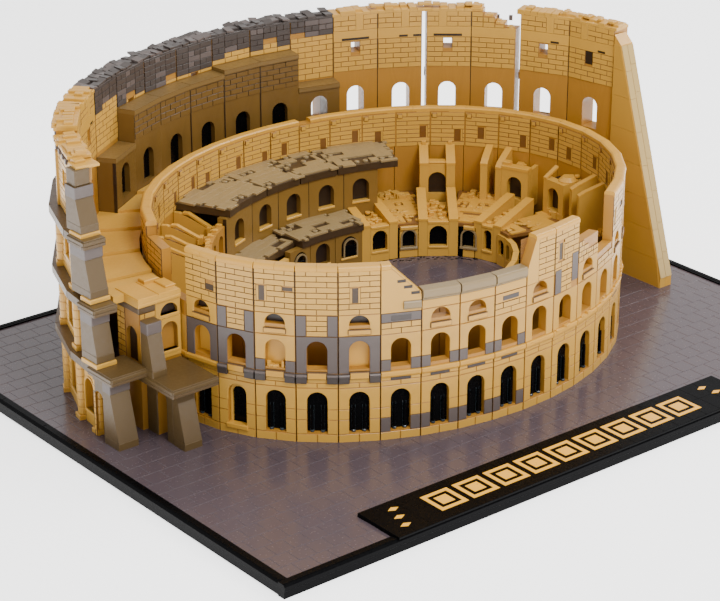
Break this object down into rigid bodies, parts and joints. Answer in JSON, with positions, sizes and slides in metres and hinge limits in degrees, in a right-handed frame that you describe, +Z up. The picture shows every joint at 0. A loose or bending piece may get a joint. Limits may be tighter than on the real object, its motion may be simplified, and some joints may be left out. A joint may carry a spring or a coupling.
{
  "type": "miniature amphitheatre model",
  "caption": "Display model of a ruined oval amphitheatre, built from small bricks on a framed tiled base: inner ring wall, arena with tiered seating and a taller outer wall round the back.",
  "frame": {"origin": "centre of the underside of the base", "axes": "+X along the long front edge to the right as seen from the nameplate, +Y from the nameplate to the back, +Z up"},
  "size_m": [0.64, 0.512, 0.24],
  "materials": {
    "base": "matt black moulded plastic",
    "floor": "glossy purple-grey tiles with fine joints",
    "frame": "semi-gloss black tiles",
    "ornament": "warm gold plastic",
    "inner_black": "black plastic",
    "tan_brick": "satin warm tan bricks, slightly mottled",
    "light_tile": "satin light tan tiles",
    "dark_tan": "satin dark tan bricks",
    "greige": "satin grey-beige tiles",
    "slate": "satin dark grey pieces"
  },
  "bodies": {
    "root": {"base_plate": "base", "floor_tiles": "floor", "frame_front": "frame", "frame_back": "frame", "frame_left": "frame", "frame_right": "frame", "nameplate": "frame", "nameplate_inlay": "ornament", "arena_floor": "floor", "arcade_core": "inner_black", "ring_wall_1": "tan_brick", "ring_wall_2": "tan_brick", "ring_wall_3": "tan_brick", "ring_wall_4": "tan_brick", "ring_wall_5": "tan_brick", "ring_wall_6": "tan_brick", "ring_wall_7": "tan_brick", "ring_wall_8": "tan_brick", "ring_wall_9": "tan_brick", "ring_wall_10": "tan_brick", "ring_wall_11": "tan_brick", "ring_wall_12": "tan_brick", "ring_rim": "light_tile", "ring_posts": "inner_black", "ring_brackets": "slate", "ring_ledge": "light_tile", "outer_wall_1": "tan_brick", "outer_wall_2": "tan_brick", "outer_wall_3": "tan_brick", "outer_wall_4": "tan_brick", "outer_wall_5": "tan_brick", "outer_wall_6": "tan_brick", "outer_wall_7": "tan_brick", "outer_wall_8": "tan_brick", "outer_cornices": "dark_tan", "half_columns": "tan_brick", "crest_tiles": "light_tile", "buttress_inner": "tan_brick", "buttress_outer": "tan_brick", "buttress_cap": "light_tile", "gallery_left": "dark_tan", "gallery_centre": "dark_tan", "gallery_right": "dark_tan", "gallery_low_end": "dark_tan", "gallery_roof": "dark_tan", "walkway_slabs": "light_tile", "west_bays": "tan_brick", "west_piers": "greige", "west_platforms": "greige", "upper_arcade": "dark_tan", "upper_terrace": "greige", "side_arcade": "tan_brick", "side_fins": "light_tile", "lower_arcade": "dark_tan", "lower_terrace": "greige", "towers_upper": "tan_brick", "towers_lower": "tan_brick", "rubble_slabs": "light_tile", "arena_wall": "tan_brick", "corridor_wall": "tan_brick"}
  },
  "joints": []
}
